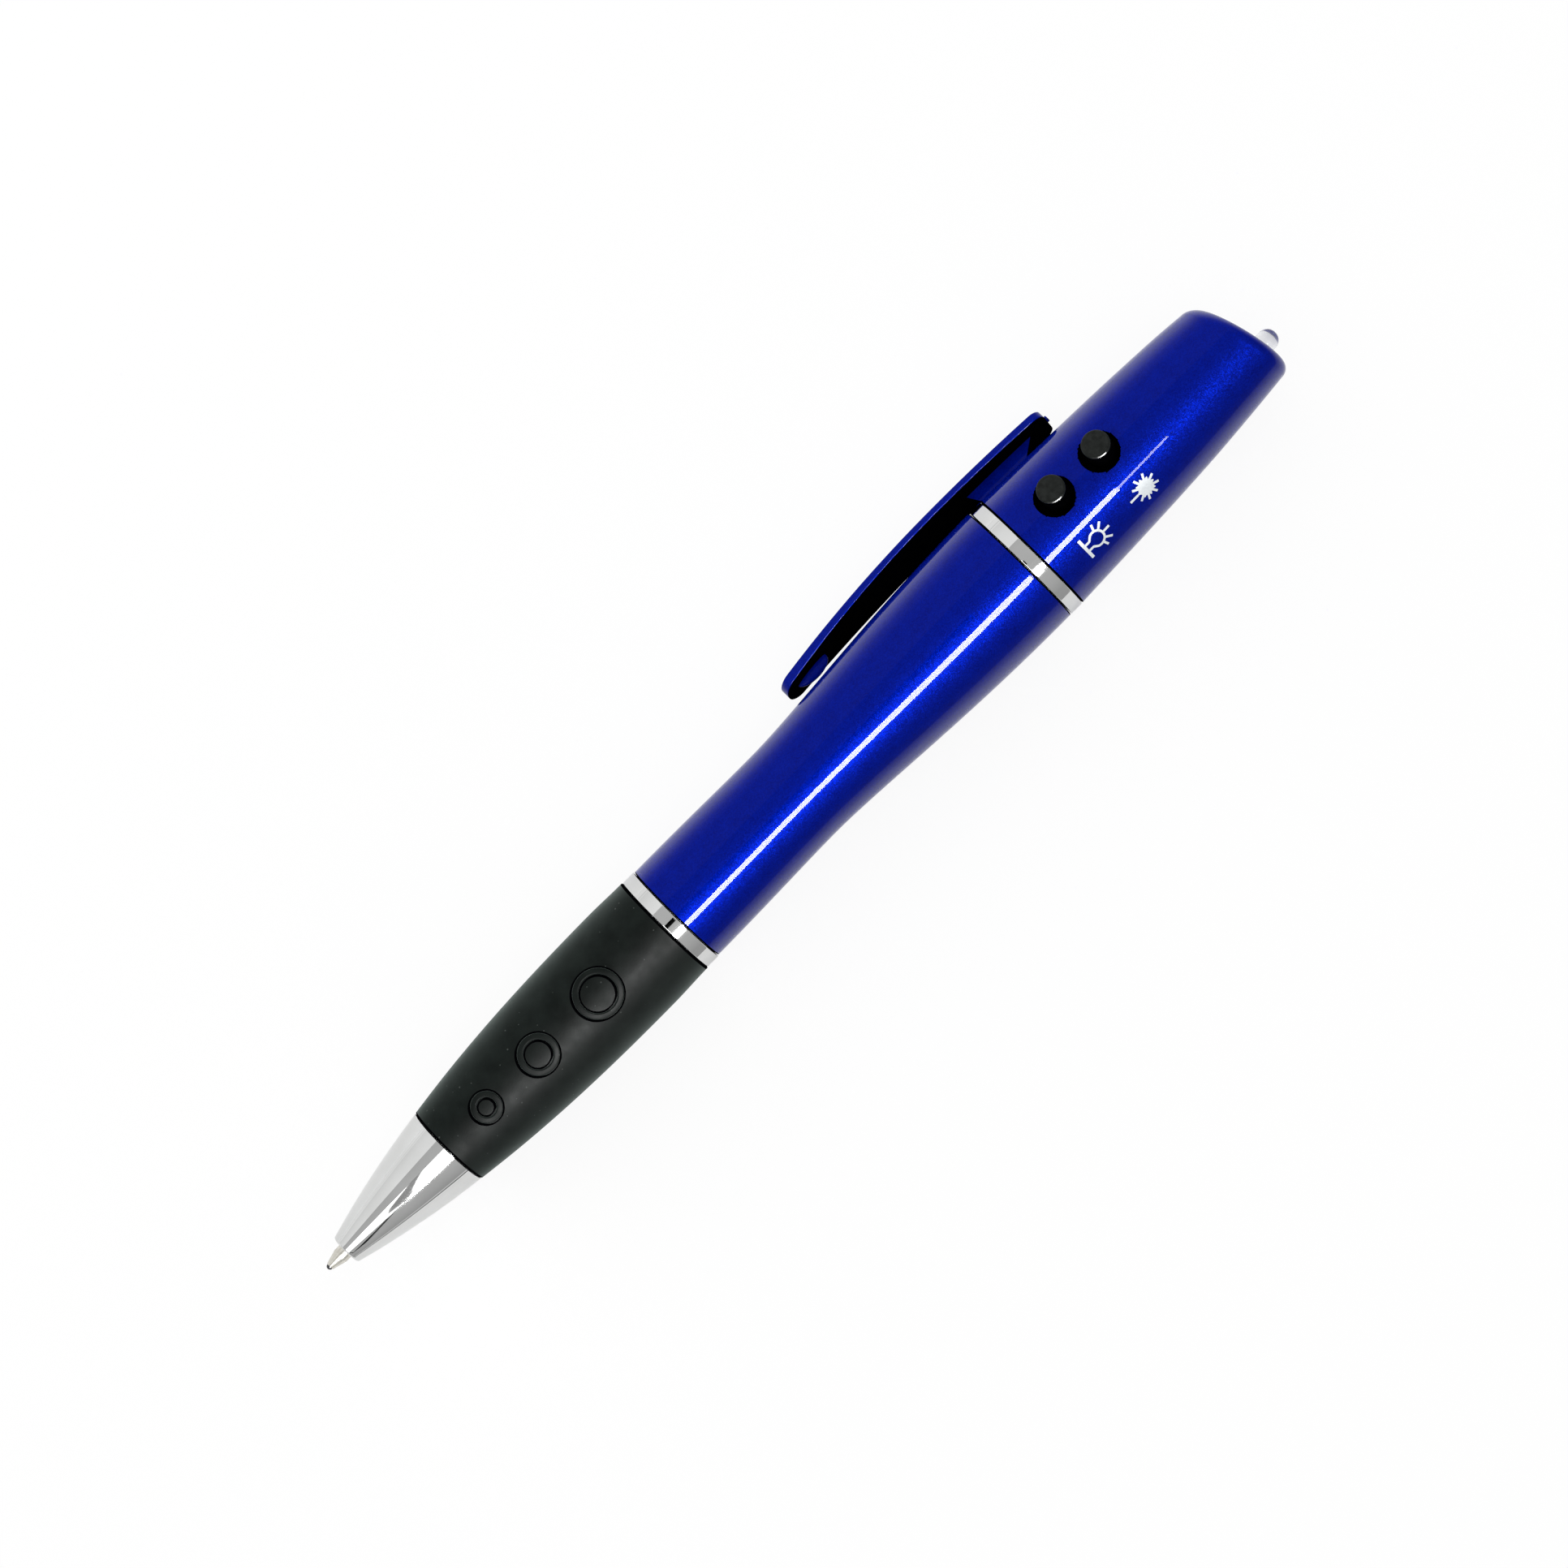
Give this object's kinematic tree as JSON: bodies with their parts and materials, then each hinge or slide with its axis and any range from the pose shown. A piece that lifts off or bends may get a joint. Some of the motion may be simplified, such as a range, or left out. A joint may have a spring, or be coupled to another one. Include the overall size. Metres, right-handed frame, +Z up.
{
  "type": "laser pointer pen",
  "caption": "Twist-action ball pen with a rubber grip, a pocket clip, and a head that holds a laser pointer, a small lamp and a push button for each.",
  "frame": {"origin": "on the table, under the middle of the lying pen's bounding box", "axes": "+X along the pen towards the writing tip, +Z up, clip towards -Y with one edge on the table, buttons up"},
  "size_m": [0.148, 0.0192, 0.0177],
  "materials": {
    "blue_lacquer": "metallic blue lacquer under a clear coat, glossy",
    "chrome_trim": "polished",
    "grip_rubber": "matte",
    "black_plastic": "fine matte",
    "grey_plastic": "moulded",
    "white_plastic": "moulded",
    "clear_plastic": "clear extrusion",
    "lamp_resin": "clear cast resin",
    "lens_glass": "polished",
    "nickel_silver": "fine turned",
    "carbide": "polished",
    "steel": "satin",
    "brass": "turned",
    "board_green": "solder mask"
  },
  "bodies": {
    "barrel": {"barrel": "blue_lacquer", "cam_sleeve": "grey_plastic", "battery_holder": "white_plastic", "button_cell_1": "steel", "button_cell_2": "steel", "button_cell_3": "steel", "battery_spring": "steel"},
    "lower_section": {"nose_cone": "chrome_trim", "grip_core": "grey_plastic", "grip_sleeve": "grip_rubber", "lower_trim_ring": "chrome_trim", "drive_tube": "white_plastic"},
    "refill": {"writing_ball": "carbide", "refill_tip": "nickel_silver", "refill_tube": "clear_plastic", "carriage": "white_plastic", "follower_pin": "steel"},
    "upper_ring": {"upper_trim_ring": "chrome_trim"},
    "head": {"head_shell": "blue_lacquer", "thread_insert": "brass", "battery_contact": "brass", "circuit_board": "board_green", "lamp_resistor": "black_plastic", "laser_resistor": "black_plastic", "emitter_carrier": "black_plastic", "lamp_led": "lamp_resin", "laser_can": "brass", "laser_diode": "brass", "laser_lens": "lens_glass", "lamp_switch": "steel", "laser_switch": "steel"},
    "lamp_button": {"lamp_button": "black_plastic", "lamp_switch_stem": "black_plastic"},
    "laser_button": {"laser_button": "black_plastic", "laser_switch_stem": "black_plastic"},
    "clip": {"clip": "blue_lacquer"}
  },
  "joints": [
    {"name": "twist", "type": "hinge", "parent": "barrel", "child": "lower_section", "pos_m": [0.01853, 0.00162, 0.00797], "axis": [-1, 0, 0], "range_deg": [0, 180]},
    {"name": "refill_slide", "type": "slide", "parent": "lower_section", "child": "refill", "axis": [-1, 0, 0], "range_m": [0, 0.005]},
    {"name": "head_lift", "type": "slide", "parent": "barrel", "child": "upper_ring", "axis": [-1, 0, 0], "range_m": [0, 0.0026]},
    {"name": "head_unscrew", "type": "hinge", "parent": "upper_ring", "child": "head", "pos_m": [-0.03766, 0.00162, 0.00797], "axis": [-1, 0, 0], "range_deg": [0, 1440]},
    {"name": "lamp_press", "type": "slide", "parent": "head", "child": "lamp_button", "axis": [0, 0.393, -0.9195], "range_m": [0, 0.0005], "stiffness_N_per_m": 2000},
    {"name": "laser_press", "type": "slide", "parent": "head", "child": "laser_button", "axis": [0, 0.393, -0.9195], "range_m": [0, 0.0005], "stiffness_N_per_m": 2000},
    {"name": "clip_flex", "type": "hinge", "parent": "head", "child": "clip", "pos_m": [-0.04457, -0.00553, 0.0043], "axis": [0, 0.4562, -0.8899], "range_deg": [0, 5], "stiffness_Nm_per_rad": 3}
  ],
  "couplings": [
    {"joint": "twist", "follows": "refill_slide", "rad_per_m": 628.32},
    {"joint": "head_unscrew", "follows": "head_lift", "rad_per_m": 9666.4}
  ]
}
